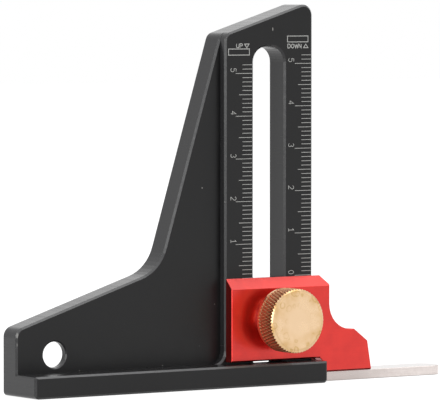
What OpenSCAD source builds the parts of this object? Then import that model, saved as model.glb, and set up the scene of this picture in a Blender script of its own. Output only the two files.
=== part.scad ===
// Depth gauge for saw tables and router tables.
// A slotted upright stands on a foot, and both are one machined piece. A slider with a
// flat measuring bar runs up and down the upright in front of its scales, and a knurled
// knob pulls a T-shaped nut into a channel behind the slot to clamp it.
// X runs along the foot, Y from the front to the back, Z up. The origin lies on the
// underside, halfway along the foot, in the plane of the scales.

/* [Foot] */
// Length of the foot and of the whole body
foot_l = 81; // [74:0.5:100]
// Height of the foot
foot_h = 5.1; // [4.6:0.1:5.5]
// How far the foot reaches forward of the scales
foot_reach = 6.5; // [3:0.1:12]
// Radius of the foot's lower corners, seen from the front
foot_corner_r = 1; // [0.6:0.1:2]
// Chamfer on the foot's front edges
foot_edge = 0.45; // [0.3:0.05:0.8]
// Radius of the foot's two upright front corners
foot_side_r = 0.85; // [0.5:0.05:2]

/* [Upright and web] */
// Height of the upright at its right edge
body_h = 90; // [86:0.5:96]
// Thickness from the scales to the back
body_t = 8; // [7.5:0.1:10]
// Height of the raised scale face above the web
scale_raise = 2; // [1:0.1:3]
// Width of the raised scale face
scale_w = 25; // [24:0.5:28]
// How far the top edge falls across the scale face
top_fall = 7.85; // [5:0.05:9]
// Distance from the right edge to the inner corner of the web
crotch_from_right = 42; // [36:0.1:50]
// Height of the inner corner of the web
crotch_h = 27.7; // [20:0.1:35]
// Height of the web at the left end
heel_h = 15.2; // [14:0.1:20]
// Radius of the web's corner at the left end
heel_r = 2.5; // [1:0.1:4]
// Radius of the inner corner of the web
crotch_r = 10; // [2:0.1:14]
// Radius where the steep edge meets the top edge
shoulder_r = 2.2; // [1:0.1:4]
// Radius of the top right corner
top_r = 2.6; // [1:0.1:4]
// Chamfer on the outline's edges
edge = 0.45; // [0.2:0.05:0.6]
// Radius that blends the left side of the scale face into the foot
flare_r = 3; // [1.5:0.1:5]

/* [Slot and channel] */
// Width of the slot
slot_w = 8.7; // [8:0.1:9.4]
// Distance from the right edge to the middle of the slot
slot_from_right = 12.5; // [11.5:0.1:13]
// Height of the slot's lower end
slot_low = 2.5; // [1.8:0.1:3.5]
// Distance from the upright's highest corner down to the slot's upper end
slot_below_top = 10.8; // [10:0.1:20]
// Radius of the slot's corners
slot_r = 3.6; // [3:0.1:4]
// Width of the channel behind the slot
channel_w = 16; // [14.5:0.1:17]
// Depth of the channel
channel_depth = 1.8; // [1.6:0.1:2.6]
// How far the channel reaches past both ends of the slot
channel_past = 0.8; // [0.4:0.1:1.2]
// Radius of the channel's corners
channel_r = 2; // [1:0.1:3]
// Chamfer on the slot's rear edges
slot_rear_edge = 0.2; // [0.1:0.05:0.4]

/* [Hanging hole] */
// Diameter of the hanging hole
hang_d = 6; // [4:0.1:7]
// Distance from the left end to the middle of the hole
hang_from_end = 10.3; // [9:0.1:11]
// Height of the hole's middle above the underside
hang_h = 9.2; // [9:0.1:10]
// Chamfer round the hole's front mouth and round the recess behind it
hang_edge = 0.3; // [0.1:0.05:0.5]
// Thickness of the wall that the hole goes through
hang_wall = 1.6; // [1.2:0.1:4]
// Diameter of the recess behind that wall, for the head of a peg
hang_recess_d = 12.6; // [9:0.1:13]

/* [Base magnets] */
// Diameter of a magnet
magnet_d = 8; // [5:0.5:9]
// Thickness of a magnet
magnet_t = 3; // [1.5:0.1:3.4]
// How deep a magnet sits inside the underside
magnet_sunk = 0.1; // [0.05:0.05:0.3]
// Radial gap that the glue fills round a magnet
magnet_glue = 0.05; // [0.02:0.01:0.1]
// Distance from the left end to the left magnet
left_magnet_from_end = 22; // [21:0.5:30]
// Distance from the right edge to the right magnet
right_magnet_from_right = 27; // [26:0.5:34]

/* [Slider] */
// Thickness of the slider's plate
slider_t = 2.45; // [2:0.05:4]
// How far the plate reaches past the slot's middle to the left
slider_left = 12.3; // [10:0.1:14]
// How far its narrow part reaches past the right edge of the upright
slider_right = 3.25; // [2:0.05:5]
// Height of its reading edge with the bar on zero
reading_h = 25; // [23:0.1:30]
// Gap between the slider's underside and the foot with the bar on zero
slider_lift = 0.45; // [0.4:0.05:0.8]
// Height and depth of the bevel under the reading edge
bevel = 2.4; // [1:0.05:2.5]
// Width and height of the cut at the plate's top right corner
corner_cut = [1.4, 2]; // [0.5:0.1:3]
// Radius of the hollow between the plate and its tail
hollow_r = 6.2; // [3:0.1:8]
// Height of the tail at its flat shoulder
tail_h = 12.1; // [11:0.1:14]
// Length of that flat shoulder
tail_flat = 1; // [0.5:0.1:4]
// Width and height of the slope that follows the shoulder
tail_slope = [3.9, 3]; // [1:0.1:6]
// How much the tail's end widens towards its foot
tail_flare = 1.15; // [0:0.05:2]
// Gap between the tail and the right end of the foot
tail_gap = 2; // [1.5:0.1:3]
// Size of the cut in the inner corner over the foot
inner_cut = 1.5; // [0.5:0.1:1.8]
// Chamfer along the lower front edges
lower_edge = 0.35; // [0.1:0.05:0.5]
// Chamfer along the other front edges
fine_edge = 0.15; // [0.05:0.05:0.3]
// Gap between the slider and the scales
face_gap = 0.05; // [0.02:0.01:0.1]
// Depth of the tongue that guides the slider in the slot
tongue_t = 2.3; // [1.5:0.1:3]
// How far the tongue ends below the reading edge
tongue_below = 0.7; // [0.4:0.1:2]
// How far the tongue ends above the slider's underside
tongue_above = 0.55; // [0.3:0.05:2]
// Clearance on each side of a piece that slides in the slot or the channel
slide_gap = 0.1; // [0.05:0.01:0.15]

/* [Measuring bar] */
// Thickness of the bar, which is also how far the two scales are offset
bar_t = 2.2; // [1.6:0.1:3]
// Width of the bar
bar_w = 8; // [6.5:0.1:8.5]
// How far the bar reaches past the right edge of the upright
bar_reach = 37; // [25:0.1:60]
// Radius of the bar's outer corners
bar_r = 3.2; // [0.5:0.1:3.5]
// Chamfer on the bar's edges
bar_edge = 0.12; // [0.05:0.01:0.2]

/* [Bar screws] */
// Thread diameter of the screws under the bar
screw_d = 2; // [1.6:0.1:2.5]
// Head diameter of the screws
screw_head_d = 3.8; // [3.2:0.1:4.4]
// Length of a screw
screw_l = 6; // [4:0.1:7]
// Distance from the tail's inner side to the first screw
screw_from_side = 3.2; // [2.6:0.1:3.6]
// Distance between the two screws
screw_pitch = 6.4; // [5:0.1:6.6]
// Width across the flats of the socket
socket_af = 1.3; // [0.9:0.1:1.3]
// Depth of the socket
socket_depth = 0.8; // [0.5:0.1:1.2]

/* [Knob] */
// Diameter of the knob over its knurl
knob_d = 15.1; // [12:0.1:18]
// Width of the knurled rim
knob_w = 6.2; // [5:0.1:8]
// Chamfer at both ends of the rim
knob_edge = 0.6; // [0.2:0.05:0.8]
// Number of knurl ridges round the rim
knurl_count = 60; // [40:2:90]
// Depth of the knurl
knurl_depth = 0.3; // [0.1:0.05:0.4]
// Knurl rows along the rim
knurl_rows = 7; // [4:1:12]
// Diameter of the neck behind the rim
neck_d = 8; // [6:0.1:9]
// Length of the neck
neck_l = 2.3; // [1.5:0.1:5]
// Height of the knob's axis with the bar on zero
knob_h = 15.35; // [15:0.05:15.6]

/* [Stud, washer and nut] */
// Thread diameter of the stud
stud_d = 4; // [3:0.1:4.5]
// Depth of the stud inside the knob
stud_in_knob = 6; // [4:0.1:7]
// How far the stud stops short of the nut's rear face
stud_short = 0.3; // [0.2:0.1:1]
// Radial clearance round the stud in the slider and the washer
stud_gap = 0.1; // [0.05:0.01:0.2]
// Radial clearance of the stud in the nut's thread
thread_gap = 0.05; // [0.03:0.01:0.08]
// Diameter of the washer
washer_d = 10; // [8:0.1:12]
// Thickness of the washer
washer_t = 0.8; // [0.5:0.1:1.2]
// Gap between faces that press on each other when the knob is tight
seat_gap = 0.05; // [0.02:0.01:0.1]
// How far the nut's flange reaches above the knob's axis
nut_above = 9.2; // [6:0.1:9.3]
// How far it reaches below that axis
nut_below = 10.5; // [6:0.1:12]
// Radius of the flange's corners
nut_r = 1.5; // [1:0.1:2]
// Height of the nut's boss in the slot
nut_boss_h = 12; // [10:0.5:13]
// How far the nut's flange lies below the back of the upright
nut_sunk = 0.05; // [0.02:0.01:0.2]

/* [Hidden] */

$fn = 64;
corner_steps = 8;
over = 0.5;

right_x = foot_l / 2;
left_x = -right_x;
axis_x = right_x - slot_from_right;
web_y = scale_raise;
channel_y = body_t - channel_depth;
channel_low = slot_low - channel_past;
slot_high = body_h - slot_below_top;
shoulder_h = body_h - top_fall;

underside_h = foot_h + slider_lift;
slider_left_x = axis_x - slider_left;
slider_right_x = right_x + slider_right;
tail_x = right_x + tail_gap;
tail_top_x = slider_right_x + hollow_r + tail_flat;
tail_end_x = tail_top_x + tail_slope[0];
tail_side_h = tail_h - tail_slope[1];
tail_foot_x = tail_end_x + tail_flare;
slider_front_y = -face_gap - slider_t;
bar_back_y = slider_front_y + bar_w;
bar_mid_y = slider_front_y + bar_w / 2;
bar_end_x = right_x + bar_reach;
screw_x = [tail_x + screw_from_side, tail_x + screw_from_side + screw_pitch];
screw_sunk = bar_edge;
screw_cone = (screw_head_d - screw_d) / 2;
screw_gap = slide_gap / 2;

washer_front_y = slider_front_y - seat_gap - washer_t;
neck_back_y = washer_front_y - seat_gap;
knob_back_y = neck_back_y - neck_l;
knob_front_y = knob_back_y - knob_w;
nut_front_y = channel_y + seat_gap;
nut_back_y = body_t - nut_sunk;
nut_boss_y = -face_gap + tongue_t + 2 * slide_gap;

// Unit vector from one point to the next
function unit(v) = v / norm(v);

// Outward normal of the side that runs from a to b on an outline that turns left
function side_normal(a, b) = let (d = unit(b - a)) [d[1], -d[0]];

// Points of one rounded corner p between a and b, moved inwards by inset. The arc's
// centre lies where both sides, moved by the radius, cross: inside the outline on a
// corner that turns left, and outside it on one that turns right.
function corner(a, p, b, r, inset) =
    let (n1 = side_normal(a, p), n2 = side_normal(p, b),
         turn = n1[0] * n2[1] - n1[1] * n2[0],
         side = turn > 0 ? 1 : -1,
         centre = p - side * r * (n1 + n2) / (1 + n1 * n2),
         from = atan2(n1[1], n1[0]),
         sweep = asin(max(-1, min(1, turn))),
         angle = n1 * n2 < 0 ? side * 180 - sweep : sweep)
    [for (i = [0:corner_steps])
        let (t = from + angle * i / corner_steps)
        centre + (side * r - inset) * [cos(t), sin(t)]];

// Outline of rounded corners, from a list of [point, radius]
function outline(marks, inset = 0) =
    [for (i = [0:len(marks) - 1])
        each corner(marks[(i + len(marks) - 1) % len(marks)][0], marks[i][0],
                    marks[(i + 1) % len(marks)][0], marks[i][1], inset)];

// Solid through rings of points that lie one above the other along Z, from a list of
// [height, inset] over the same corners. Both ends are fans round the middle, a point
// from which every side of the outline is in view.
module ring_solid(marks, middle, levels) {
    n = len(marks) * (corner_steps + 1);
    last = len(levels) - 1;
    points = concat(
        [for (level = levels) for (p = outline(marks, level[1])) [p[0], p[1], level[0]]],
        [[middle[0], middle[1], levels[0][0]], [middle[0], middle[1], levels[last][0]]]);
    first_middle = n * (last + 1);
    faces = [for (i = [0:n - 1])
        let (j = (i + 1) % n)
        each concat([[first_middle, i, j], [first_middle + 1, last * n + j, last * n + i]],
            [for (k = [0:last - 1])
                each [[k * n + i, (k + 1) * n + i, (k + 1) * n + j], [k * n + i, (k + 1) * n + j, k * n + j]]])];
    polyhedron(points, faces, convexity = 6);
}

// Turns a shape drawn in X and Y so that it stands up: its Y becomes Z, and its Z runs
// forward, so a level at height h lies at y = -h
module stand() {
    rotate([90, 0, 0]) children();
}

// Straight cylinder or cone along Y, between two depths
module along_y(y1, y2, r1, r2) {
    translate([0, y1, 0]) rotate([-90, 0, 0]) cylinder(h = y2 - y1, r1 = r1, r2 = r2);
}

// Bar with round ends between two heights and two depths, round the slot's middle line
module slot_shape(w, low, high, y1, y2) {
    for (z = [low + w / 2, high - w / 2]) translate([axis_x, 0, z]) along_y(y1, y2, w / 2, w / 2);
    translate([axis_x - w / 2, y1, low + w / 2]) cube([w, y2 - y1, high - low - w]);
}

// Point from which every side of the web and of the scale face is in view
body_middle = [right_x - scale_w / 2, heel_h / 2];

// Corners of the web, seen from the front, each with its radius
web_marks = [
    [[left_x, 0], foot_corner_r],
    [[right_x, 0], foot_corner_r],
    [[right_x, body_h], top_r],
    [[right_x - scale_w, shoulder_h], shoulder_r],
    [[right_x - crotch_from_right, crotch_h], crotch_r],
    [[left_x, heel_h], heel_r]];

// Corners of the raised scale face, which starts inside the foot
face_marks = [
    [[right_x - scale_w, foot_h / 2], edge],
    [[right_x, foot_h / 2], edge],
    [[right_x, body_h], top_r],
    [[right_x - scale_w, shoulder_h], shoulder_r]];

// Corners of the slot, seen from the front
slot_marks = [
    [[axis_x - slot_w / 2, slot_low], slot_r],
    [[axis_x + slot_w / 2, slot_low], slot_r],
    [[axis_x + slot_w / 2, slot_high], slot_r],
    [[axis_x - slot_w / 2, slot_high], slot_r]];

foot_marks = [
    [[left_x, 0], foot_corner_r],
    [[right_x, 0], foot_corner_r],
    [[right_x, foot_h], foot_edge],
    [[left_x, foot_h], foot_edge]];

// Cut that rounds one upright front corner of the foot, where side is 1 at the left end
// and -1 at the right end
module foot_corner(x, side) {
    middle_x = x + side * foot_side_r;
    difference() {
        translate([min(x - side * over, middle_x), -foot_reach - over, -over])
            cube([foot_side_r + over, foot_side_r + over, foot_h + 2 * over]);
        translate([middle_x, foot_side_r - foot_reach, -2 * over])
            cylinder(h = foot_h + 4 * over, r = foot_side_r);
    }
}

// Fillet that widens the scale face to the left where it meets the foot
module face_flare() {
    flare_x = right_x - scale_w;
    difference() {
        translate([flare_x - flare_r, 0, foot_h / 2])
            cube([flare_r + scale_w / 2, web_y + over, foot_h / 2 + flare_r]);
        translate([flare_x - flare_r, 0, foot_h + flare_r]) {
            along_y(-over, web_y + 2 * over, flare_r, flare_r);
            along_y(-over, edge, flare_r + edge + over, flare_r);
        }
    }
}

// Pocket in the underside for one magnet
module magnet_pocket(x) {
    translate([x, magnet_y, -over])
        cylinder(h = magnet_sunk + magnet_t + magnet_glue + over, r = magnet_d / 2 + magnet_glue);
}

magnet_y = (body_t - foot_reach) / 2;
left_magnet_x = left_x + left_magnet_from_end;
right_magnet_x = right_x - right_magnet_from_right;

module gauge_body() {
    color("#2b2b2d")
    difference() {
        union() {
            stand() ring_solid(web_marks, body_middle,
                [[-body_t, edge], [-body_t + edge, 0], [-web_y - edge, 0], [-web_y, edge]]);
            stand() ring_solid(face_marks, body_middle,
                [[-channel_y + edge, 0], [-edge, 0], [0, edge]]);
            stand() ring_solid(foot_marks, [0, foot_h / 2],
                [[-channel_y + edge, 0], [foot_reach - foot_edge, 0], [foot_reach, foot_edge]]);
            face_flare();
        }
        foot_corner(left_x, 1);
        foot_corner(right_x, -1);
        slot();
        channel();
        hanging_hole();
        magnet_pocket(left_magnet_x);
        magnet_pocket(right_magnet_x);
    }
}

// Slot through the upright, with its edges broken in front above the foot and behind
module slot() {
    middle = [axis_x, (slot_low + slot_high) / 2];
    translate([0, body_t + over, 0])
        stand() linear_extrude(body_t + over) polygon(outline(slot_marks));
    intersection() {
        stand() ring_solid(slot_marks, middle, [[-edge, 0], [over, -edge - over]]);
        translate([left_x, -2 * over, foot_h]) cube([foot_l, body_t, body_h]);
    }
    stand() ring_solid(slot_marks, middle,
        [[-channel_y - over, -slot_rear_edge - over], [-channel_y + slot_rear_edge, 0]]);
}

// Channel in the back that keeps the nut from turning
module channel() {
    low = channel_low;
    high = slot_high + channel_past;
    marks = [[[axis_x - channel_w / 2, low], channel_r], [[axis_x + channel_w / 2, low], channel_r],
             [[axis_x + channel_w / 2, high], channel_r], [[axis_x - channel_w / 2, high], channel_r]];
    translate([0, body_t + over, 0])
        stand() linear_extrude(channel_depth + over) polygon(outline(marks));
}

module hanging_hole() {
    r = hang_d / 2;
    recess_r = hang_recess_d / 2;
    translate([left_x + hang_from_end, 0, hang_h]) {
        along_y(0, body_t + over, r, r);
        along_y(web_y - over, web_y + hang_edge, r + hang_edge + over, r);
        along_y(web_y + hang_wall, body_t + over, recess_r, recess_r);
        along_y(body_t - hang_edge, body_t + over, recess_r, recess_r + hang_edge + over);
    }
}

module magnet(x) {
    translate([x, magnet_y, magnet_sunk]) cylinder(h = magnet_t, r = magnet_d / 2);
}

module left_magnet() { color("#c9cacc") magnet(left_magnet_x); }
module right_magnet() { color("#c9cacc") magnet(right_magnet_x); }

// Outline of the slider's plate, with square corners where the radius is the fine edge
slider_marks = [
    [[slider_left_x, underside_h], fine_edge],
    [[tail_x - inner_cut, underside_h], fine_edge],
    [[tail_x, underside_h - inner_cut], fine_edge],
    [[tail_x, bar_t], fine_edge],
    [[tail_foot_x, bar_t], fine_edge],
    [[tail_end_x, tail_side_h], fine_edge],
    [[tail_top_x, tail_h], fine_edge],
    [[slider_right_x, tail_h], hollow_r],
    [[slider_right_x, reading_h - corner_cut[1]], fine_edge],
    [[slider_right_x - corner_cut[0], reading_h], fine_edge],
    [[slider_left_x, reading_h], fine_edge]];

// Chamfer along a lower front edge, from x1 to x2 at height z
module lower_chamfer(x1, x2, z) {
    translate([x1, slider_front_y, z]) rotate([90, 0, 90])
        linear_extrude(x2 - x1)
            polygon([[-over, -over], [lower_edge + over, -over], [-over, lower_edge + over]]);
}

module slider_plate() {
    tip = slider_t - bevel;
    color("#c8102e")
    difference() {
        union() {
            stand() ring_solid(slider_marks, [(tail_x + slider_right_x) / 2, (underside_h + tail_h) / 2],
                [[face_gap, 0], [face_gap + slider_t - fine_edge, 0], [face_gap + slider_t, fine_edge]]);
            slot_shape(slot_w - 2 * slide_gap, underside_h + tongue_above, reading_h - tongue_below,
                -face_gap - fine_edge, -face_gap + tongue_t);
            tail_block();
        }
        // bevel under the reading edge
        translate([slider_left_x - over, 0, 0]) rotate([90, 0, 90])
            linear_extrude(slider_left + slot_from_right + slider_right + 2 * over)
                polygon([[-face_gap - tip + over, reading_h + over],
                         [slider_front_y - over, reading_h + over],
                         [slider_front_y - over, reading_h - bevel - over]]);
        lower_chamfer(slider_left_x - over, tail_x - inner_cut, underside_h);
        lower_chamfer(tail_x - over, tail_foot_x + over, bar_t);
        translate([axis_x, 0, knob_h])
            along_y(slider_front_y - over, tongue_t + over, stud_d / 2 + stud_gap, stud_d / 2 + stud_gap);
        for (x = screw_x)
            translate([x, bar_mid_y, bar_t - over])
                cylinder(h = screw_l - bar_t + screw_sunk + 2 * over, r = screw_d / 2 + screw_gap);
    }
}

// Thick part of the tail that the bar is screwed to, as deep as the bar is wide
module tail_block() {
    translate([tail_x, -face_gap - fine_edge, bar_t])
        cube([tail_end_x - tail_x, bar_back_y + face_gap + fine_edge, tail_side_h - bar_t]);
}

module measuring_bar() {
    low = slider_front_y;
    marks = [[[tail_x, low], 2 * bar_edge], [[bar_end_x, low], bar_r],
             [[bar_end_x, bar_back_y], bar_r], [[tail_x, bar_back_y], 2 * bar_edge]];
    color("#c9c4c2")
    difference() {
        ring_solid(marks, [(tail_x + bar_end_x) / 2, bar_mid_y],
            [[0, bar_edge], [bar_edge, 0], [bar_t - bar_edge, 0], [bar_t, bar_edge]]);
        for (x = screw_x) translate([x, bar_mid_y, 0]) {
            translate([0, 0, -over]) cylinder(h = bar_t + 2 * over, r = screw_d / 2 + screw_gap);
            translate([0, 0, -over])
                cylinder(h = screw_cone + screw_sunk + over,
                    r1 = screw_d / 2 + screw_cone + screw_sunk + over + screw_gap, r2 = screw_d / 2 + screw_gap);
        }
    }
}

module bar_screws() {
    color("#b9bbbe")
    for (x = screw_x) translate([x, bar_mid_y, screw_sunk])
        difference() {
            union() {
                cylinder(h = screw_cone, r1 = screw_head_d / 2, r2 = screw_d / 2);
                cylinder(h = screw_l, r = screw_d / 2);
            }
            translate([0, 0, -over])
                cylinder(h = socket_depth + over, r = socket_af / 2 / cos(30), $fn = 6);
        }
}

// Diamond knurl: peaks and valleys take turns round each ring and from ring to ring, so
// the valleys join into two crossing sets of grooves. The end rings are plain circles.
module knurled_rim(y1, y2) {
    n = 2 * knurl_count;
    r = knob_d / 2;
    span = y2 - y1 - 2 * knob_edge;
    rings = concat([[y1, 0]],
        [for (k = [0:knurl_rows]) [y1 + knob_edge + span * k / knurl_rows, k % 2 + 1]],
        [[y2, 0]]);
    function ring_r(kind, i) = kind == 0 ? r - knob_edge : (i + kind) % 2 == 0 ? r : r - knurl_depth;
    points = [for (ring = rings) for (i = [0:n - 1])
        let (a = 360 * i / n, rr = ring_r(ring[1], i)) [rr * cos(a), ring[0], rr * sin(a)]];
    // each square of the net is split along the groove that crosses it
    sides = [for (k = [0:len(rings) - 2]) for (i = [0:n - 1])
        let (j = (i + 1) % n, a = k * n + i, b = k * n + j, c = (k + 1) * n + j, d = (k + 1) * n + i)
        each (i + rings[k][1]) % 2 == 0 ? [[a, b, d], [b, c, d]] : [[a, b, c], [a, c, d]]];
    caps = [[for (i = [n - 1:-1:0]) i], [for (i = [0:n - 1]) (len(rings) - 1) * n + i]];
    polyhedron(points, concat(caps, sides), convexity = 4);
}

module knob_head() {
    color("#d9b26a")
    translate([axis_x, 0, knob_h])
        difference() {
            union() {
                knurled_rim(knob_front_y, knob_back_y);
                along_y(knob_back_y - over, neck_back_y, neck_d / 2, neck_d / 2);
            }
            along_y(neck_back_y - stud_in_knob, neck_back_y + over, stud_d / 2, stud_d / 2);
        }
}

module knob_stud() {
    color("#b9bbbe")
    translate([axis_x, 0, knob_h])
        along_y(neck_back_y - stud_in_knob, nut_back_y - stud_short, stud_d / 2, stud_d / 2);
}

module thrust_washer() {
    r = stud_d / 2 + stud_gap;
    color("#b9bbbe")
    translate([axis_x, 0, knob_h])
        difference() {
            along_y(washer_front_y, washer_front_y + washer_t, washer_d / 2, washer_d / 2);
            along_y(washer_front_y - over, washer_front_y + washer_t + over, r, r);
        }
}

module clamp_nut() {
    w = channel_w - 4 * slide_gap;
    r = stud_d / 2 + thread_gap;
    low = knob_h - nut_below;
    high = knob_h + nut_above;
    marks = [[[axis_x - w / 2, low], nut_r], [[axis_x + w / 2, low], nut_r],
             [[axis_x + w / 2, high], nut_r], [[axis_x - w / 2, high], nut_r]];
    color("#b9bbbe")
    difference() {
        union() {
            translate([0, nut_back_y, 0])
                stand() linear_extrude(nut_back_y - nut_front_y) polygon(outline(marks));
            slot_shape(slot_w - 2 * slide_gap, knob_h - nut_boss_h / 2, knob_h + nut_boss_h / 2,
                nut_boss_y, nut_front_y + seat_gap);
        }
        translate([axis_x, 0, knob_h]) along_y(-over, body_t + over, r, r);
    }
}

gauge_body();
left_magnet();
right_magnet();
slider_plate();
measuring_bar();
bar_screws();
knob_head();
knob_stud();
thrust_washer();
clamp_nut();
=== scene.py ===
import bpy
import math
import numpy as np
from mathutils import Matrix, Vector


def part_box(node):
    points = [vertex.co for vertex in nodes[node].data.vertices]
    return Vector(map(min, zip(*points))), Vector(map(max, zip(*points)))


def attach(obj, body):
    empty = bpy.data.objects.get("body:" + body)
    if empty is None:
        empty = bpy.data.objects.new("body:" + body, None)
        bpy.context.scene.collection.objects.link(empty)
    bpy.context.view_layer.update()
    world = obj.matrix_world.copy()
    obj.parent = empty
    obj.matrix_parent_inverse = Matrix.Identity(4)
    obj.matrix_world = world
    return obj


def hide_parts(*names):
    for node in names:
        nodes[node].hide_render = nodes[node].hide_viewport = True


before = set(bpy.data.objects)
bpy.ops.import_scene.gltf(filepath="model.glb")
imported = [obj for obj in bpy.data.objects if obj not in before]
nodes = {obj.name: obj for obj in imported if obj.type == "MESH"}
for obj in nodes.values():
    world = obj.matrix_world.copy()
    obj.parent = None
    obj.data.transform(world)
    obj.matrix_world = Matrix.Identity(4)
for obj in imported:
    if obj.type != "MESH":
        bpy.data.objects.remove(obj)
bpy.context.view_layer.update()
mm = 0.001
print("packed model loaded:", len(nodes), "nodes")


# helpers for meshes and materials

def addObject(name, data):
    thing = bpy.data.objects.new(name, data)
    bpy.context.scene.collection.objects.link(thing)
    return thing


def meshPiece(name, verts, faces, material, body, smooth=True):
    # a mesh from numpy arrays in millimetres, placed in its own vertices, riding on a body
    mesh = bpy.data.meshes.new(name)
    mesh.from_pydata((np.asarray(verts) * mm).tolist(), [], [list(f) for f in faces])
    mesh.polygons.foreach_set("use_smooth", np.full(len(mesh.polygons), smooth))
    mesh.materials.append(material)
    mesh.update()
    piece = addObject(name, mesh)
    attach(piece, body)
    print("piece", name, len(verts), "vertices")
    return piece


def gridFaces(rows, columns):
    # quads between neighbours of a grid whose last column meets the first
    r, c = np.meshgrid(np.arange(rows - 1), np.arange(columns), indexing="ij")
    n = (c + 1) % columns
    corners = [r * columns + c, r * columns + n, (r + 1) * columns + n, (r + 1) * columns + c]
    return np.stack(corners, -1).reshape(-1, 4)


def turnedFaces(rows, columns):
    # a tube of rings, closed by one flat face at each end
    last = (rows - 1) * columns
    ends = [list(range(columns)), list(range(last + columns - 1, last - 1, -1))]
    return gridFaces(rows, columns).tolist() + ends


def aroundY(centre, angle, radius, y):
    # points at each radius and angle round an axis along Y through centre
    x = centre.x / mm + radius * np.cos(angle)
    z = centre.z / mm + radius * np.sin(angle)
    return np.stack([x, np.broadcast_to(y[:, None], radius.shape), z], -1).reshape(-1, 3)


def srgb(code, share=1.0):
    # sRGB hex to linear: below 0.04045 divide by 12.92, above it ((c + 0.055) / 1.055) to the power 2.4;
    # share is how much of that light is left
    parts = [int(code[i:i + 2], 16) / 255 for i in (1, 3, 5)]
    return [(c / 12.92 if c <= 0.04045 else ((c + 0.055) / 1.055) ** 2.4) * share for c in parts] + [1.0]


def addNode(tree, kind, *values, named=None, **settings):
    # one node with its settings and links: values go to its live inputs in their order, and named ones to the
    # input of that name; each is a plain value, an output, or a node, whose first live output is linked
    node = tree.nodes.new(kind)
    for key, value in settings.items():
        setattr(node, key, value)
    live = [socket for socket in node.inputs if socket.enabled]
    pairs = list(zip(live, values)) + [(node.inputs[key], value) for key, value in (named or {}).items()]
    for socket, value in pairs:
        if isinstance(value, bpy.types.Node):
            value = next(output for output in value.outputs if output.enabled)
        if isinstance(value, bpy.types.NodeSocket):
            tree.links.new(value, socket)
        else:
            socket.default_value = value
    return node


def newMaterial(name):
    material = bpy.data.materials.new(name)
    material.use_nodes = True
    material.node_tree.nodes.clear()
    return material, material.node_tree


def finishMaterial(tree, finish, bump=None):
    # the shader with everything that the finish says, and the material's output; a bump is a height, its
    # strength and its depth in millimetres
    if bump:
        height, strength, depth = bump
        shape = {"Height": height, "Strength": strength, "Distance": depth * mm}
        finish["Normal"] = addNode(tree, "ShaderNodeBump", named=shape)
    shader = addNode(tree, "ShaderNodeBsdfPrincipled", named=finish)
    addNode(tree, "ShaderNodeOutputMaterial", shader)


def perMm(size):
    # how many repeats a metre holds of a pattern that repeats every size millimetres
    return 1 / (size * mm)


def objectPoint(tree, scale=(1, 1, 1), centre=(0, 0, 0)):
    # the point on the piece in object space, in units of the pattern, measured from centre
    coords = addNode(tree, "ShaderNodeTexCoord")
    offset = [-c * s for c, s in zip(centre, scale)]
    place = {"Vector": coords.outputs["Object"], "Location": offset, "Scale": scale}
    return addNode(tree, "ShaderNodeMapping", named=place)


def facing(tree):
    # x, y and z of the way that the surface looks
    coords = addNode(tree, "ShaderNodeTexCoord")
    return addNode(tree, "ShaderNodeSeparateXYZ", coords.outputs["Normal"]).outputs


def grain(tree, size, detail=3.0):
    # noise whose lumps are size millimetres large, or (x, y, z) millimetres where they are drawn out
    sizes = size if isinstance(size, tuple) else (size, size, size)
    point = objectPoint(tree, tuple(perMm(s) for s in sizes))
    return addNode(tree, "ShaderNodeTexNoise", point, 1.0, detail)


# materials; a pair whose name ends in From holds the two ends of a change, along a noise or along how far a
# face looks one way, from 0 for not at all to 1 for straight that way

noiseFrom = (0.3, 0.7)    # nearly all of a noise lies between these
toneFrom = (0.35, 0.65)   # the same for a mean of two noises

blackAnodised = {
    "light": "#141415", "dark": "#0d0d0e",
    "edgeTone": "#262627",    # the milled edges took less dye
    "bevelHighlight": "#4e4e4f",   # painted highlight on the broken edges along the top, which look up to the lamps
    "clouds": 5.0,            # mm, faint clouds of the dye bath
    "blasting": 0.22,         # mm, bead-blasted grain; really 0.1 mm, drawn twice as coarse so that it shows
    "millStep": 1.1,          # mm between the cutter marks on the edges that were milled round the outline
    "millLength": 60.0,       # mm, the marks run right across the edge
    "faceFrom": (0.75, 0.9),  # how far it looks to the front or the back, from a milled edge to a face
    "bevelFrom": (0.3, 0.5),  # the same, from a milled edge to a bevel
    "upFrom": (0.1, 0.5),     # how far up a bevel along the top looks, for its painted highlight
    "roughness": (0.34, 0.44),
    "millRoughness": (0.16, 0.28),
    "specular": 0.31,
    "bump": 0.10,
    "bumpDepth": 0.02,        # mm
    "millBump": 4.0,          # the cutter marks are so many times as high as the grain
    "scuff": "#a9a7a3",       # bare metal and dust in a few small nicks
    "scuffSize": 0.9,         # mm
    "scuffFrom": (0.76, 0.8),   # only the highest peaks of that noise are bare
    "nickFrom": (0.6, 1.0),     # share of a nick's half size, from its bare middle to its edge
    # mm, middle and half size of the nicks that this gauge has got in use, and how bare each is
    "nicks": (((-40.1, 2.2, 14.1), (0.3, 0.35, 0.9), 0.3),
              ((-40.15, 2.2, 11.9), (0.2, 0.3, 0.5), 0.15),
              ((29.02, 0.0, 83.3), (0.13, 0.3, 0.5), 0.8),
              ((15.9, 0.0, 81.5), (0.25, 0.3, 0.35), 0.3),
              ((13.85, 2.0, 19.1), (0.17, 0.4, 0.17), 0.25),
              ((-0.72, 2.0, 5.4), (0.2, 0.4, 0.15), 0.35),
              ((-23.5, 2.0, 5.3), (0.2, 0.4, 0.15), 0.25)),
}


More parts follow.
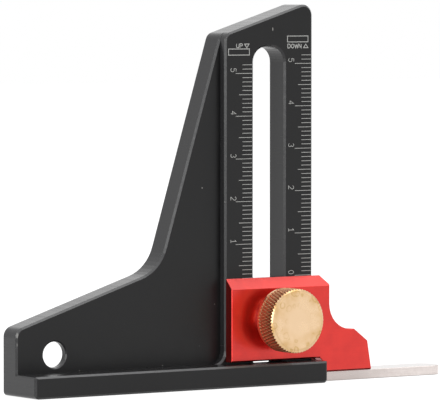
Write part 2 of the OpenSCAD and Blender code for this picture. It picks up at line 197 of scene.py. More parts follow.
def makeBlackAnodised(spec):
    # black anodised 6061 aluminium, milled and bead-blasted: a dark dyed oxide skin, so nearly all that the
    # eye gets is a soft sheen, a little glossier and paler along the milled edges; the bevels along the top
    # get a painted highlight
    material, tree = newMaterial("blackAnodisedAluminium")
    clouds = grain(tree, spec["clouds"], detail=4.0)
    blasting = grain(tree, spec["blasting"], detail=2.0)
    marks = grain(tree, (spec["millStep"], spec["millLength"], spec["millStep"]), detail=2.0)
    # the milled edges look across Y, and the bevels lie between them and the front and back
    sideways, depthways, upwards = facing(tree)
    squarely = addNode(tree, "ShaderNodeMath", depthways, operation="ABSOLUTE")
    onEdge = addNode(tree, "ShaderNodeMapRange", squarely, *spec["faceFrom"], 1.0, 0.0)
    slanting = addNode(tree, "ShaderNodeMapRange", squarely, *spec["bevelFrom"])
    onTop = addNode(tree, "ShaderNodeMapRange", upwards, *spec["upFrom"])
    # painted highlight: the bevels along the top are lightened where they look up towards the lamps
    highlightedBevel = addNode(tree, "ShaderNodeMath", onEdge, slanting, operation="MULTIPLY")
    highlightedBevel = addNode(tree, "ShaderNodeMath", highlightedBevel, onTop, operation="MULTIPLY")
    peaks = grain(tree, spec["scuffSize"], detail=6.0)
    scuffs = addNode(tree, "ShaderNodeMapRange", peaks, *spec["scuffFrom"])
    for middle, size, bare in spec["nicks"]:
        point = objectPoint(tree, [perMm(s) for s in size], [c * mm for c in middle])
        away = addNode(tree, "ShaderNodeVectorMath", point, operation="LENGTH")
        nick = addNode(tree, "ShaderNodeMapRange", away, *spec["nickFrom"], bare, 0.0)
        scuffs = addNode(tree, "ShaderNodeMath", scuffs, nick, operation="MAXIMUM")
    skin = addNode(tree, "ShaderNodeMix", clouds, srgb(spec["dark"]), srgb(spec["light"]), data_type="RGBA")
    # the milled edges and the nicks get their own tones, and the bevels along the top the painted highlight
    for where, tone in ((onEdge, "edgeTone"), (highlightedBevel, "bevelHighlight"), (scuffs, "scuff")):
        skin = addNode(tree, "ShaderNodeMix", where, skin, srgb(spec[tone]), data_type="RGBA")
    blasted = addNode(tree, "ShaderNodeMapRange", clouds, *noiseFrom, *spec["roughness"])
    milled = addNode(tree, "ShaderNodeMapRange", marks, *noiseFrom, *spec["millRoughness"])
    rough = addNode(tree, "ShaderNodeMix", onEdge, blasted, milled, data_type="FLOAT")
    height = addNode(tree, "ShaderNodeMath", marks, onEdge, operation="MULTIPLY")
    height = addNode(tree, "ShaderNodeMath", height, spec["millBump"], operation="MULTIPLY")
    height = addNode(tree, "ShaderNodeMath", blasting, height, operation="ADD")
    finish = {"Base Color": skin, "Roughness": rough, "Specular IOR Level": spec["specular"]}
    finishMaterial(tree, finish, (height, spec["bump"], spec["bumpDepth"]))
    return material


redAnodised = {
    "light": "#d9271d", "dark": "#cc2018",
    "brushing": (7.0, 0.14, 0.14),   # mm, along the plate; really finer, drawn so coarse that it shows
    "clouds": 3.5,                   # mm, uneven dye
    "shares": (0.3, 0.7),            # of the unevenness that the brushing makes, and the clouds
    "metal": 0.91,                   # the rest is light scattered in the dyed skin
    "roughness": (0.35, 0.40),
    "leftFrom": (-0.9, -0.7),        # a face painted with shade looks this far to the left
    "downFrom": (-0.6, -0.3),        # or this far down
    "paintedShadeShare": 0.58,                    # painted shade: share of the dark tone left on a face that looks left or down
    "coat": 0.75,
    "coatRoughness": 0.22,
    "bump": 0.025,
    "bumpDepth": 0.01,               # mm
}


def makeRedAnodised(spec):
    # red anodised aluminium, fine brushed: the metal shines through a clear dyed skin, whose own gloss is the
    # coat; the faces that look down or to the left are painted darker as shade
    material, tree = newMaterial("redAnodisedAluminium")
    brushing = grain(tree, spec["brushing"])
    clouds = grain(tree, spec["clouds"])
    parts = [addNode(tree, "ShaderNodeMath", noise, share, operation="MULTIPLY")
             for noise, share in zip((brushing, clouds), spec["shares"])]
    tone = addNode(tree, "ShaderNodeMath", *parts, operation="ADD")
    tone = addNode(tree, "ShaderNodeMapRange", tone, *toneFrom)
    skin = addNode(tree, "ShaderNodeMix", tone, srgb(spec["dark"]), srgb(spec["light"]), data_type="RGBA")
    sideways, depthways, upwards = facing(tree)
    # painted shade: faces that look to the left or down are darkened
    onLeft = addNode(tree, "ShaderNodeMapRange", sideways, *spec["leftFrom"], 1.0, 0.0)
    below = addNode(tree, "ShaderNodeMapRange", upwards, *spec["downFrom"], 1.0, 0.0)
    paintedShadeMask = addNode(tree, "ShaderNodeMath", below, onLeft, operation="MAXIMUM")
    skin = addNode(tree, "ShaderNodeMix", paintedShadeMask, skin, srgb(spec["dark"], spec["paintedShadeShare"]), data_type="RGBA")
    rough = addNode(tree, "ShaderNodeMapRange", brushing, *noiseFrom, *spec["roughness"])
    finish = {"Base Color": skin, "Roughness": rough, "Metallic": spec["metal"],
              "Coat Weight": spec["coat"], "Coat Roughness": spec["coatRoughness"]}
    finishMaterial(tree, finish, (brushing, spec["bump"], spec["bumpDepth"]))
    return material


# what all bare metals have in common
bareMetal = {
    "topFrom": (0.8, 0.95),      # a flat top looks this far up
    "downFrom": (-0.5, -0.2),    # a face that the table shades looks this far down
    "flatFrom": (-0.95, -0.8),   # a flat underside looks further down and keeps its tone
    "bump": 0.06,
    "bumpDepth": 0.01,           # mm
}

stainless = {
    "light": "#e3dad6", "dark": "#cdc3bf",
    "grain": (9.0, 0.2, 0.2),      # mm, surface grinding along the bar
    "blotch": 1.6,                 # mm, faint water marks
    "roughness": (0.26, 0.38),
    "under": "#8f8784",            # where the table shades a slanting face
    "flat": 0.12,                  # roughness of the lapped top
    "top": "#d6cfcc",
    "tailShade": (52.0, 64.0, 0.86),   # mm along X, painted shade that darkens the bar towards the slider's tail, and the share of the dark tone there
}

zincSteel = {
    "light": "#d8dade", "dark": "#b9bcc2",
    "grain": (0.6, 0.6, 0.6),      # mm, spangle of the zinc
    "blotch": 2.5,
    "roughness": (0.28, 0.42),
    "under": "#9fa2a8",
    "flat": 0.3,
    "top": "#d8dade",
    "tailShade": None,
}

nickel = {
    "light": "#ded9cf", "dark": "#c9c3b8",
    "grain": (1.2, 1.2, 1.2),      # mm, faint clouds of the plating
    "blotch": 3.0,
    "roughness": (0.14, 0.26),
    "under": "#c9c3b8",
    "flat": 0.2,
    "top": "#ded9cf",
    "tailShade": None,
}


def makeBareMetal(name, spec, common):
    # ground stainless steel, zinc-plated steel or nickel plate: each has its own grain, stains and polish;
    # the bar is painted darker near the slider's tail, and faces that look down get the table's painted shade
    material, tree = newMaterial(name)
    lines = grain(tree, spec["grain"])
    blotch = grain(tree, spec["blotch"])
    halves = [addNode(tree, "ShaderNodeMath", noise, 0.5, operation="MULTIPLY") for noise in (lines, blotch)]
    tone = addNode(tree, "ShaderNodeMath", *halves, operation="ADD")
    tone = addNode(tree, "ShaderNodeMapRange", tone, *toneFrom)
    skin = addNode(tree, "ShaderNodeMix", tone, srgb(spec["dark"]), srgb(spec["light"]), data_type="RGBA")
    # painted shade: the bar darkens towards where it leaves the slider's tail
    if spec["tailShade"]:
        start, end, share = spec["tailShade"]
        along = addNode(tree, "ShaderNodeSeparateXYZ", objectPoint(tree)).outputs[0]
        nearTail = addNode(tree, "ShaderNodeMapRange", along, start * mm, end * mm, 1.0, 0.0)
        skin = addNode(tree, "ShaderNodeMix", nearTail, skin, srgb(spec["dark"], share), data_type="RGBA")
    upwards = facing(tree)[2]
    onTop = addNode(tree, "ShaderNodeMapRange", upwards, *common["topFrom"])
    below = addNode(tree, "ShaderNodeMapRange", upwards, *common["downFrom"], 1.0, 0.0)
    slanting = addNode(tree, "ShaderNodeMapRange", upwards, *common["flatFrom"])
    shaded = addNode(tree, "ShaderNodeMath", below, slanting, operation="MULTIPLY")
    skin = addNode(tree, "ShaderNodeMix", onTop, skin, srgb(spec["top"]), data_type="RGBA")
    skin = addNode(tree, "ShaderNodeMix", shaded, skin, srgb(spec["under"]), data_type="RGBA")
    ground = addNode(tree, "ShaderNodeMapRange", lines, *noiseFrom, *spec["roughness"])
    rough = addNode(tree, "ShaderNodeMix", onTop, ground, spec["flat"], data_type="FLOAT")
    finish = {"Base Color": skin, "Roughness": rough, "Metallic": 1.0}
    finishMaterial(tree, finish, (lines, common["bump"], common["bumpDepth"]))
    return material


brass = {
    "bright": "#e4c5a0", "tarnish": "#cda56c",
    "stainRing": "#bf9a5c",
    "ridges": "#dfa97c",          # painted reflection of the red slider, which tints the knurl redder
    "grooves": "#7a4420",         # the knurl's grooves, darker, most near the front
    "blotch": 2.8,                # mm, fingerprints and first tarnish
    "blotchFrom": (0.4, 0.7),     # where in that noise the tarnish starts and is full
    "blotchTone": (0.1, 0.9),     # how strong it is there
    "rimTarnish": (2.5, 7.0),     # mm from the axis: the tarnish creeps in from the rim
    "rimLine": (0.6, 0.5),        # mm, width of the stain in the corner inside the rim, and its strength
    "rimEdge": 0.1,               # mm, over which that stain ends at the rim
    "ringSpacing": 2.1,           # mm between dried drops
    "ringWander": 0.3,            # how far a drop's rim strays from a circle, in parts of the spacing
    "wanderLength": 0.4,          # over what length it strays, in parts of the spacing
    "ringRadius": 0.33,           # share of the spacing
    "ringLine": (0.01, 0.09),     # share of the spacing, from the full middle of a drop's rim to its edge
    "ringTone": 0.8,
    "ringFrom": (0.38, 0.5),      # drops only show where the noise of the blotches is high
    "turning": 0.3,               # mm, rings of the lathe tool; really 0.1 mm, drawn so coarse that they show
    "grooveFrom": (0.02, 0.2),    # mm below the crests, from where the grooves start to darken to full darkness
    "grooveFade": (0.3, 3.0),     # mm behind the front, over which that darkening thins
    "grooveLeft": 0.35,           # share of it that is left there
    "knurlFrom": (0.6, 1.0),      # share of the chamfer, from the face's tone to the knurl's
    "sideBlend": 0.05,            # mm, the same change from the axis outwards
    "backBlend": 0.1,             # mm, the same change at the knurl's back
    "roughness": (0.24, 0.38),
    "knurlRoughness": 0.38,
    "bump": 0.10,
    "bumpDepth": 0.01,            # mm
}


def makeBrass(spec, centre, outer, inner, front, back, chamfer):
    # free-cutting brass, turned on the lathe: warm and bright, with rings round the axis, dried drops and
    # first tarnish on the face, a painted reflection of the red slider on the knurl, and darker grooves in
    # the knurl; the knob's sizes are in metres
    material, tree = newMaterial("turnedBrass")
    point = objectPoint(tree, (1, 0, 1), (centre.x, 0, centre.z))
    radius = addNode(tree, "ShaderNodeVectorMath", point, operation="LENGTH")
    perTurn = 2 * math.pi * perMm(spec["turning"])
    wave = addNode(tree, "ShaderNodeMath", radius, perTurn, operation="MULTIPLY")
    wave = addNode(tree, "ShaderNodeMath", wave, operation="SINE")
    # tarnish on the face
    blotch = grain(tree, spec["blotch"], detail=5.0)
    outward = addNode(tree, "ShaderNodeMapRange", radius, *[r * mm for r in spec["rimTarnish"]])
    stain = addNode(tree, "ShaderNodeMapRange", blotch, *spec["blotchFrom"], *spec["blotchTone"])
    stain = addNode(tree, "ShaderNodeMath", stain, outward, operation="MULTIPLY")
    width, strength = spec["rimLine"]
    corner = addNode(tree, "ShaderNodeMapRange", radius, inner - width * mm, inner, 0.0, strength)
    inside = addNode(tree, "ShaderNodeMapRange", radius, inner, inner + spec["rimEdge"] * mm, 1.0, 0.0)
    corner = addNode(tree, "ShaderNodeMath", corner, inside, operation="MULTIPLY")
    stain = addNode(tree, "ShaderNodeMath", stain, corner, operation="MAXIMUM")
    # dried drops
    stray = grain(tree, spec["ringSpacing"] * spec["wanderLength"])
    stray = addNode(tree, "ShaderNodeMath", stray, spec["ringWander"], operation="MULTIPLY")
    dropPoint = objectPoint(tree, (perMm(spec["ringSpacing"]),) * 3)
    dropPoint = addNode(tree, "ShaderNodeVectorMath", dropPoint, stray, operation="ADD")
    drops = addNode(tree, "ShaderNodeTexVoronoi", dropPoint, 1.0, voronoi_dimensions="3D")
    offRing = addNode(tree, "ShaderNodeMath", drops, spec["ringRadius"], operation="SUBTRACT")
    offRing = addNode(tree, "ShaderNodeMath", offRing, operation="ABSOLUTE")
    ring = addNode(tree, "ShaderNodeMapRange", offRing, *spec["ringLine"], spec["ringTone"], 0.0)
    ring = addNode(tree, "ShaderNodeMath", ring, outward, operation="MULTIPLY")
    where = addNode(tree, "ShaderNodeMapRange", blotch, *spec["ringFrom"])
    ring = addNode(tree, "ShaderNodeMath", ring, where, operation="MULTIPLY")
    # the knurl's grooves lie below the crests, whose radius is outer less what the front chamfer takes off
    along = addNode(tree, "ShaderNodeSeparateXYZ", objectPoint(tree)).outputs[1]
    taken = addNode(tree, "ShaderNodeMath", front + chamfer, along, operation="SUBTRACT")
    taken = addNode(tree, "ShaderNodeMath", taken, 0.0, operation="MAXIMUM")
    crest = addNode(tree, "ShaderNodeMath", outer, taken, operation="SUBTRACT")
    depth = addNode(tree, "ShaderNodeMath", crest, radius, operation="SUBTRACT")
    grooveTone = addNode(tree, "ShaderNodeMapRange", depth, *[d * mm for d in spec["grooveFrom"]])
    fade = [front + d * mm for d in spec["grooveFade"]]
    fade = addNode(tree, "ShaderNodeMapRange", along, *fade, 1.0, spec["grooveLeft"])
    grooveTone = addNode(tree, "ShaderNodeMath", grooveTone, fade, operation="MULTIPLY")
    side = outer - chamfer
    onRim = addNode(tree, "ShaderNodeMapRange", radius, side, side + spec["sideBlend"] * mm)
    ahead = addNode(tree, "ShaderNodeMapRange", along, back - spec["backBlend"] * mm, back, 1.0, 0.0)
    onRim = addNode(tree, "ShaderNodeMath", onRim, ahead, operation="MULTIPLY")
    start = [front + chamfer * share for share in spec["knurlFrom"]]
    behind = addNode(tree, "ShaderNodeMapRange", along, *start)
    knurled = addNode(tree, "ShaderNodeMath", onRim, behind, operation="MULTIPLY")
    grooveTone = addNode(tree, "ShaderNodeMath", onRim, grooveTone, operation="MULTIPLY")
    bright, tarnish = srgb(spec["bright"]), srgb(spec["tarnish"])
    skin = addNode(tree, "ShaderNodeMix", stain, bright, tarnish, data_type="RGBA")
    # the knurl gets the painted reflection of the red slider, and its grooves are darker
    for where, tone in ((ring, "stainRing"), (knurled, "ridges"), (grooveTone, "grooves")):
        skin = addNode(tree, "ShaderNodeMix", where, skin, srgb(spec[tone]), data_type="RGBA")
    rough = addNode(tree, "ShaderNodeMapRange", blotch, *noiseFrom, *spec["roughness"])
    rough = addNode(tree, "ShaderNodeMix", knurled, rough, spec["knurlRoughness"], data_type="FLOAT")
    finish = {"Base Color": skin, "Roughness": rough, "Metallic": 1.0}
    finishMaterial(tree, finish, (wave, spec["bump"], spec["bumpDepth"]))
    return material


engraving = {"light": "#bdbdba", "dark": "#9c9c99", "speck": 0.3, "roughness": 0.75}   # speck in mm


def makeEngraving(spec):
    # laser-marked oxide: the dye is bleached to a matt light grey, slightly uneven along the line
    material, tree = newMaterial("laserMarkedGrey")
    speck = grain(tree, spec["speck"], detail=2.0)
    tone = addNode(tree, "ShaderNodeMix", speck, srgb(spec["dark"]), srgb(spec["light"]), data_type="RGBA")
    finishMaterial(tree, {"Base Color": tone, "Roughness": spec["roughness"]})
    return material


# sizes of the knob, which its brass needs too
knob = {
    "around": 60,         # knurl ridges
    "pitch": 2.45,        # mm, along the axis
    "depth": 0.28,        # mm
    "lead": 0.7,          # share of the chamfer at which the first row of diamonds starts
    "plainBand": 0.8,     # mm, smooth band behind the knurl
    "bandDrop": 0.06,     # mm, how far that band lies below the crests
    "runOut": 0.4,        # mm, over which the grooves get shallow before the band
    "crest": 0.35,        # share of each ridge left flat
    "chamfer": 0.5,       # mm at the front of the rim
    "backChamfer": 0.25,  # mm
    "rim": 6.2,           # mm, width of the rim
    "neck": 4.0,          # mm, radius
    "cove": 1.4,          # mm, radius of the hollow between the rim and the neck
    "coveRings": 8,
    "bore": 2.0,          # mm, radius
    "boreDepth": 6.0,     # mm
    "brokenEdge": 0.15,   # mm, at the neck's end and the bore's mouth
    "faceStep": 0.05,     # mm, how far the face lies below its rim
    "rimLand": 0.35,      # mm, width of that rim inside the chamfer
    "closing": 0.02,      # mm, radius of the small faces that close the knob at its axis
    "faceStart": 0.6,     # mm, radius of the face's next ring
    "faceRings": 12,
    "faceInset": (0.12, 0.05),   # mm from the rim inwards, the last two rings of the face
    "sideInset": (0.04, 0.05),   # mm inwards from the two chamfers, rings that keep their edges sharp
    "columns": 480,
    "rowStep": 0.09,      # mm
}
low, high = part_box("knob_head")
knobCentre = Vector(((low.x + high.x) / 2, low.y, (low.z + high.z) / 2))
knobRadius = (high.x - low.x) / 2
faceRadius = knobRadius - (knob["chamfer"] + knob["rimLand"]) * mm
knurlEnd = low.y + (knob["rim"] - knob["plainBand"]) * mm
materials = {
    "black": makeBlackAnodised(blackAnodised),
    "red": makeRedAnodised(redAnodised),
    "stainless": makeBareMetal("groundStainlessSteel", stainless, bareMetal),
    "zinc": makeBareMetal("zincPlatedSteel", zincSteel, bareMetal),
    "nickel": makeBareMetal("nickelPlatedMagnet", nickel, bareMetal),
    "brass": makeBrass(brass, knobCentre, knobRadius, faceRadius, low.y, knurlEnd, knob["chamfer"] * mm),
    "engraving": makeEngraving(engraving),
}
finishOf = {
    "gauge_body": "black", "left_magnet": "nickel", "right_magnet": "nickel", "slider_plate": "red",
    "measuring_bar": "stainless", "bar_screws": "zinc", "knob_head": "brass", "knob_stud": "zinc",
    "thrust_washer": "zinc", "clamp_nut": "zinc",
}
for name, finish in finishOf.items():
    nodes[name].data.materials.clear()
    nodes[name].data.materials.append(materials[finish])
print("materials made:", len(materials))


# knurled knob

def knurledKnob(spec, low, high):
    # a lathe profile turned round the knob's axis: face, rim, cove, neck and bore; on the rim the radius is
    # the smaller of the chamfered profile and R - depth * g, where g is the deeper of two crossing helical
    # grooves, each a triangle wave, and a smooth band is left behind them
    outer = (high.x - low.x) / 2 / mm
    front, end = low.y / mm, high.y / mm
    back = front + spec["rim"]
    c = spec["chamfer"]
    inner = outer - c - spec["rimLand"]
    flatInset, stepInset = spec["faceInset"]
    frontInset, backInset = spec["sideInset"]
    flatR = np.linspace(spec["faceStart"], inner - flatInset, spec["faceRings"])
    faceR = np.concatenate([[spec["closing"]], flatR, [inner - stepInset, inner, outer - c - frontInset]])
    faceY = np.where(faceR < inner, front + spec["faceStep"], front)
    rimY = np.append(np.arange(front, back, spec["rowStep"]), back)
    rimR = outer - np.clip(c - (rimY - front), 0, c) - np.clip(spec["backChamfer"] - (back - rimY), 0, c)
    neck, bore, e = spec["neck"], spec["bore"], spec["brokenEdge"]
    bottom = end - spec["boreDepth"]
    sweep = np.linspace(0, math.pi / 2, spec["coveRings"])
    coveR = neck + spec["cove"] * (1 - np.sin(sweep))
    coveY = back + spec["cove"] * (1 - np.cos(sweep))
    lastR = [neck, neck - e, bore + e, bore, bore, spec["closing"]]
    tailR = np.concatenate([[outer - spec["backChamfer"] - backInset], coveR, lastR])
    tailY = np.concatenate([[back], coveY, [end - e, end, end, end - e, bottom, bottom]])
    r = np.concatenate([faceR, rimR, tailR])
    y = np.concatenate([faceY, rimY, tailY])
    onRim = np.zeros(len(r), bool)
    onRim[len(faceR):len(faceR) + len(rimR)] = True
    angle = np.linspace(0, 2 * math.pi, spec["columns"], endpoint=False)
    a = angle[None, :] * spec["around"] / (2 * math.pi)
    s = (y[:, None] - front - c * spec["lead"]) / spec["pitch"]
    groove = [1 - 2 * np.abs((a + k * s) % 1 - 0.5) for k in (1, -1)]   # 0 on the ridge, 1 in the groove
    g = np.clip((np.maximum(*groove) - spec["crest"]) / (1 - spec["crest"]), 0, 1)
    knurled = np.clip((back - spec["plainBand"] - y[:, None]) / spec["runOut"], 0, 1)
    cut = outer - spec["depth"] * g * knurled - spec["bandDrop"] * (1 - knurled)
    radius = np.where(onRim[:, None], np.minimum(r[:, None], cut), r[:, None])
    return aroundY(knobCentre, angle, radius, y), turnedFaces(len(r), spec["columns"])


verts, faces = knurledKnob(knob, low, high)
knobPiece = meshPiece("knurled_knob", verts, faces, materials["brass"], "knob")
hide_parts("knob_head")


# threaded stud

stud = {"pitch": 0.7, "depth": 0.38, "chamfer": 0.35, "columns": 40, "rowStep": 0.07}   # mm


def threadedStud(spec, low, high):
    # radius R - depth * triangle wave of (y / pitch - angle / 2 pi), cut down to a cone at both ends
    outer = (high.x - low.x) / 2 / mm
    y0, y1 = low.y / mm, high.y / mm
    y = np.linspace(y0, y1, int((y1 - y0) / spec["rowStep"]))
    angle = np.linspace(0, 2 * math.pi, spec["columns"], endpoint=False)
    turn = (y[:, None] / spec["pitch"] - angle[None, :] / (2 * math.pi)) % 1
    thread = outer - spec["depth"] * (1 - 2 * np.abs(turn - 0.5))
    cone = outer - spec["chamfer"] + np.minimum(y - y0, y1 - y)
    radius = np.minimum(thread, cone[:, None])
    return aroundY((low + high) / 2, angle, radius, y), turnedFaces(len(y), spec["columns"])


verts, faces = threadedStud(stud, *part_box("knob_stud"))
studPiece = meshPiece("threaded_stud", verts, faces, materials["zinc"], "knob")
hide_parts("knob_stud")


# engraved scales

scales = {
    "line": 0.12,         # mm, width of a mark
    "letterLine": 0.17,   # mm, width of a line in the words and frames
    "proud": 0.012,       # mm, how far the marks stand off the face, so that they never flicker
    "sunk": 0.02,         # mm, how far they reach into it
    "sharpest": 0.35,     # cosine of half the sharpest bend that is mitred in full
    "arcPoints": 20,
    "leftEnd": -17.35, "rightEnd": -0.5,      # mm from the upright's right edge, where the ticks end
    "lengths": (2.75, 3.75, 4.65),            # mm, of a 1 mm, a 5 mm and a 10 mm tick
    "zeroRight": 25.2, "zeroLeft": 23.0,      # mm above the underside; they differ by the bar's thickness
    "lastTick": 52,
    "digit": (0.8, 1.5),                      # mm, width and height of a numeral
    "digitBase": (-23.4, -6.95),              # mm, where the foot of the numerals lies on each scale
    "digitLift": 0.38,                        # mm, from the tick's middle to the numeral
    "letterWidth": (0.72, 0.78),              # mm, in the left word and the right one
    "letterGap": (0.28, 0.22),                # mm
    "letterShare": {"W": 1.25, "N": 0.85},    # of that width, where a letter is wider or narrower
    "letterHeight": 0.92,                     # mm
    "words": (("UP", -21.8, 79.0), ("DOWN", -7.2, 78.85)),      # mm, lower left corner
    "arrows": (("down", -19.5, 78.98), ("up", -2.65, 78.85)),   # mm, lower left corner
    "arrowSize": (1.25, 0.92),                                  # mm
    "frames": ((-24.05, 77.29, -18.15, 78.71), (-7.28, 80.27, -1.38, 81.65)),   # mm, two corners of each
}

# single-line shapes in a box one wide and one high, as (kind, numbers): a line through points, or an arc
# (centre x, centre y, radius x, radius y, first angle, last angle)
glyphs = {
    "0": [("arc", (0.5, 0.5, 0.5, 0.5, 0, 360))],
    "1": [("line", ((0.15, 0.75), (0.55, 1), (0.55, 0))), ("line", ((0.1, 0), (0.95, 0)))],
    "2": [("arc", (0.5, 0.72, 0.48, 0.28, 165, -40)), ("line", ((0.867, 0.54), (0.02, 0), (1, 0)))],
    "3": [("arc", (0.48, 0.75, 0.42, 0.25, 150, -90)), ("arc", (0.48, 0.25, 0.5, 0.25, 90, -150))],
    "4": [("line", ((0.72, 0), (0.72, 1), (0, 0.3), (1, 0.3)))],
    "5": [("line", ((0.92, 1), (0.12, 1), (0.06, 0.55))), ("arc", (0.45, 0.32, 0.53, 0.32, 125, -150))],
    "U": [("line", ((0, 1), (0, 0.35))), ("arc", (0.5, 0.35, 0.5, 0.35, 180, 360)),
          ("line", ((1, 0.35), (1, 1)))],
    "P": [("line", ((0, 0), (0, 1), (0.55, 1))), ("arc", (0.55, 0.74, 0.42, 0.26, 90, -90)),
          ("line", ((0.55, 0.48), (0, 0.48)))],
    "D": [("line", ((0.4, 0), (0, 0), (0, 1), (0.4, 1))), ("arc", (0.4, 0.5, 0.58, 0.5, 90, -90))],
    "O": [("arc", (0.5, 0.5, 0.5, 0.5, 0, 360))],
    "W": [("line", ((0, 1), (0.25, 0), (0.5, 0.8), (0.75, 0), (1, 1)))],
    "N": [("line", ((0, 0), (0, 1), (1, 0), (1, 1)))],
    "down": [("line", ((0, 0.95), (1, 0.95), (0.5, 0), (0, 0.95)))],
    "up": [("line", ((0, 0.05), (1, 0.05), (0.5, 1), (0, 0.05)))],
}


def glyphStrokes(name):
    # arcs become points at even angles
    out = []
    for kind, numbers in glyphs[name]:
        if kind == "line":
            out.append(np.array(numbers, float))
        else:
            cx, cy, rx, ry, a0, a1 = numbers
            t = np.radians(np.linspace(a0, a1, scales["arcPoints"]))
            out.append(np.stack([cx + rx * np.cos(t), cy + ry * np.sin(t)], -1))
    return out


def strokeRibbon(points, width, y, depth):
    # a flat bar of rectangular section carried along a line in the scale face; at each point the section is
    # square to the mean of the two neighbouring directions and widened by 1 / cos of half the bend
    points = np.asarray(points, float)
    closed = np.allclose(points[0], points[-1])
    if closed:
        points = points[:-1]
    d = np.roll(points, -1, 0) - points
    d /= np.linalg.norm(d, axis=1)[:, None]
    before = np.roll(d, 1, 0)
    if not closed:
        d[-1] = before[-1]
        before[0] = d[0]
    mean = d + before
    mean /= np.linalg.norm(mean, axis=1)[:, None]
    halfBend = np.clip((mean * d).sum(1), scales["sharpest"], 1)
    side = np.stack([-mean[:, 1], mean[:, 0]], -1) / halfBend[:, None]
    left, right = points + side * width / 2, points - side * width / 2
    rows = len(points)
    near, far = np.full(rows, y), np.full(rows, y + depth)
    ring = [np.stack([flank[:, 0], level, flank[:, 1]], -1)
            for flank, level in ((left, near), (right, near), (right, far), (left, far))]
    verts = np.stack(ring, 1).reshape(-1, 3)
    faces = gridFaces(rows, 4)
    if closed:
        i = np.arange(4)
        n = (i + 1) % 4
        lastRow = (rows - 1) * 4
        faces = np.concatenate([faces, np.stack([lastRow + i, lastRow + n, n, i], -1)])
    else:
        faces = np.concatenate([faces, [[3, 2, 1, 0]], [np.arange(4) + (rows - 1) * 4]])
    return verts, faces


def placed(strokes, corner, size, turned=False):
    # strokes from the unit box to the face: upright, or turned clockwise with their top to the right
    out = []
    for s in strokes:
        local = s * np.array(size)
        if turned:
            local = np.stack([local[:, 1], size[0] - local[:, 0]], -1)
        out.append(local + np.array(corner))
    return out


def tickStrokes(spec, edge):
    # ticks and numerals of both scales, x along the foot and z up; edge is the upright's right edge
    strokes = []
    sides = zip((spec["leftEnd"], spec["rightEnd"]), (spec["zeroLeft"], spec["zeroRight"]), spec["digitBase"])
    for end, zero, base in sides:
        for tick in range(0, spec["lastTick"] + 1):
            z = zero + tick
            long = spec["lengths"][2 if tick % 10 == 0 else 1 if tick % 5 == 0 else 0]
            strokes.append(np.array([[edge + end - long, z], [edge + end, z]]))
            if tick % 10 == 0:
                corner = (edge + base, z + spec["digitLift"])
                strokes += placed(glyphStrokes(str(tick // 10)), corner, spec["digit"], True)
    return strokes


def wordStrokes(spec, edge):
    # words, their arrows and the frames beside them, which stay empty
    strokes = []
    for (word, x, z), w, gap in zip(spec["words"], spec["letterWidth"], spec["letterGap"]):
        for letter in word:
            wide = w * spec["letterShare"].get(letter, 1)
            strokes += placed(glyphStrokes(letter), (edge + x, z), (wide, spec["letterHeight"]))
            x += wide + gap
    for name, x, z in spec["arrows"]:
        strokes += placed(glyphStrokes(name), (edge + x, z), spec["arrowSize"])
    for x0, z0, x1, z1 in spec["frames"]:
        strokes.append(np.array([[x0, z0], [x1, z0], [x1, z1], [x0, z1], [x0, z0]]) + np.array([edge, 0]))
    return strokes


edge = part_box("gauge_body")[1].x / mm
drawn = ((tickStrokes(scales, edge), scales["line"]), (wordStrokes(scales, edge), scales["letterLine"]))
allVerts, allFaces, count = [], [], 0
for strokes, width in drawn:
    for stroke in strokes:
        v, f = strokeRibbon(stroke, width, -scales["proud"], scales["proud"] + scales["sunk"])
        allVerts.append(v)
        allFaces.append(f + count)
        count += len(v)
marks = meshPiece("engraved_scales", np.concatenate(allVerts), np.concatenate(allFaces).tolist(),
                  materials["engraving"], "frame", smooth=False)
print("scale marks drawn")


# floor, light and camera

studio = {
    "floor": "#f2f2f2",
    "sky": "#ffffff",
    "skyDiffuse": 0.72,    # strength of the sky's light on the object
    "floorShade": 0.35,    # how strongly a shadow shows on the floor
    "floorGlow": 0.80,     # the floor's own light, with which its unshaded part is as white as the sky
    "floorReach": 3.0,     # m, each way
    "floorGap": 0.02,      # mm below the foot
    "aim": (0.0, 0.0, 0.04),   # m, where the lamps look
    # place and size in metres, power in watts
    "topLamp": {"place": (0.16, 0.15, 0.85), "size": (0.9, 0.7), "power": 4.3},
    "leftLamp": {"place": (-0.80, -0.30, 0.16), "size": (0.7, 0.6), "power": 5.2},
    "backLamp": {"place": (0.40, 0.80, 0.38), "size": (0.8, 0.5), "power": 0.42},
}


def showsBackground(tree):
    # 1 for what the camera, a mirror or glass sees, 0 for light that falls on the object
    path = addNode(tree, "ShaderNodeLightPath").outputs
    seen = addNode(tree, "ShaderNodeMath", path["Is Camera Ray"], path["Is Glossy Ray"], operation="MAXIMUM")
    return addNode(tree, "ShaderNodeMath", seen, path["Is Transmission Ray"], operation="MAXIMUM")


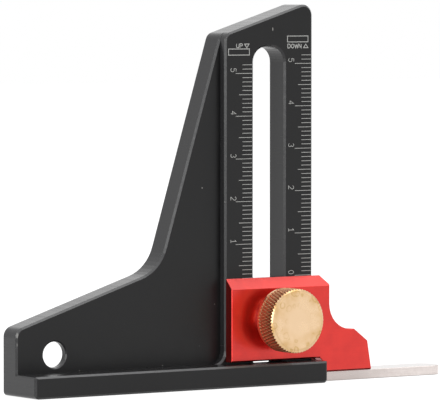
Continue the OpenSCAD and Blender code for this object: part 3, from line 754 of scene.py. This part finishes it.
reach, under = studio["floorReach"], -studio["floorGap"] * mm
corners = [(x * reach, y * reach, under) for x, y in ((-1, -1), (1, -1), (1, 1), (-1, 1))]
floorMesh = bpy.data.meshes.new("floor")
floorMesh.from_pydata(corners, [], [(0, 1, 2, 3)])
floor = addObject("floor", floorMesh)
paleFloor, tree = newMaterial("paleFloor")
plain = addNode(tree, "ShaderNodeBsdfDiffuse", srgb(studio["floor"]))
shade = addNode(tree, "ShaderNodeBsdfDiffuse", [studio["floorShade"]] * 3 + [1])
glow = addNode(tree, "ShaderNodeEmission", srgb(studio["sky"]), studio["floorGlow"])
bright = addNode(tree, "ShaderNodeAddShader", shade, glow)
mixed = addNode(tree, "ShaderNodeMixShader", showsBackground(tree), plain, bright)
addNode(tree, "ShaderNodeOutputMaterial", mixed)
floorMesh.materials.append(paleFloor)

world = bpy.data.worlds.new("studio")
bpy.context.scene.world = world
world.use_nodes = True
tree = world.node_tree
tree.nodes.clear()
soft = addNode(tree, "ShaderNodeBackground", srgb(studio["sky"]), studio["skyDiffuse"])
white = addNode(tree, "ShaderNodeBackground", srgb(studio["sky"]), 1.0)
mixed = addNode(tree, "ShaderNodeMixShader", showsBackground(tree), soft, white)
addNode(tree, "ShaderNodeOutputWorld", mixed)

for lampName in ("topLamp", "leftLamp", "backLamp"):
    spec = studio[lampName]
    light = bpy.data.lights.new(lampName, "AREA")
    light.shape = "RECTANGLE"
    light.size, light.size_y = spec["size"]
    light.energy = spec["power"]
    lamp = addObject(lampName, light)
    lamp.location = spec["place"]
    aim = Vector(studio["aim"]) - lamp.location
    lamp.rotation_euler = aim.to_track_quat("-Z", "Y").to_euler()

view = {
    "azimuth": 34.12, "elevation": 2.64,   # degrees
    "focal": 4500, "frame": 440,           # pixels, focal length and width of the picture
    "sensor": 36,                          # mm
    "distance": 1049.6,                    # mm
    "target": (14.094, 0.065, 43.307),     # mm
    "clipEnd": 100,                        # m
}
cameraData = bpy.data.cameras.new("camera")
cameraData.sensor_width = view["sensor"]
cameraData.lens = view["focal"] / view["frame"] * view["sensor"]
cameraData.clip_end = view["clipEnd"]
camera = addObject("camera", cameraData)
az, el = math.radians(view["azimuth"]), math.radians(view["elevation"])
forward = Vector((math.sin(az) * math.cos(el), math.cos(az) * math.cos(el), -math.sin(el)))
camera.location = (Vector(view["target"]) - forward * view["distance"]) * mm
camera.rotation_euler = forward.to_track_quat("-Z", "Y").to_euler()
bpy.context.scene.camera = camera
bpy.context.scene.view_settings.view_transform = "Standard"
print("floor, lamps and camera placed")
